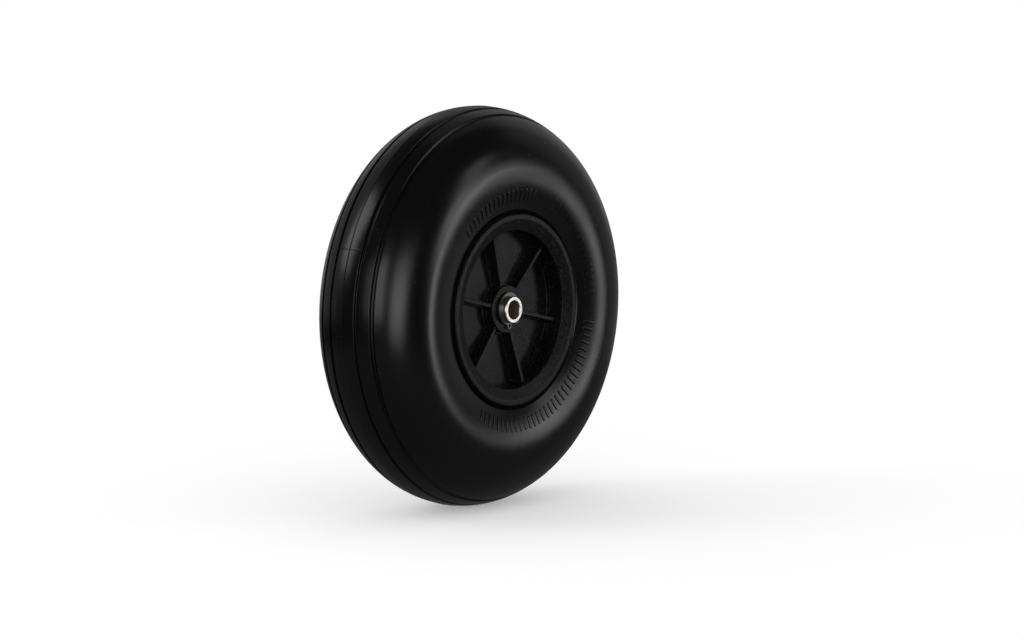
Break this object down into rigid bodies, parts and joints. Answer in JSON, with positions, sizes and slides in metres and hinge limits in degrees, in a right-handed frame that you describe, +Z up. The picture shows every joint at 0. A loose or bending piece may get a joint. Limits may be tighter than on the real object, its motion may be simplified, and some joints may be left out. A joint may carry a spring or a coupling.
{
  "type": "aircraft wheel",
  "caption": "Light balloon wheel for a large model aircraft: grooved foam tyre on a split, ribbed plastic rim that turns on an axle sleeve held by circlips.",
  "frame": {"origin": "the wheel's centre, on the axle and the mid-plane of the tyre", "axes": "+Y along the axle from the front face to the rear face, +Z up, +X to the right seen from the front"},
  "size_m": [0.178, 0.055, 0.178],
  "materials": {
    "tyre": "smooth moulded skin, semi-gloss",
    "rim": "fine spark-eroded grain",
    "sleeve": "bright turned",
    "circlip": "dull spring steel"
  },
  "bodies": {
    "axle": {"axle_sleeve": "sleeve", "circlip_front": "circlip", "circlip_rear": "circlip"},
    "wheel": {"tyre": "tyre", "rim_front": "rim", "rim_rear": "rim"}
  },
  "joints": [
    {"name": "wheel_spin", "type": "hinge", "parent": "axle", "child": "wheel", "pos_m": [0, 0, 0], "axis": [0, 1, 0], "continuous": true}
  ]
}
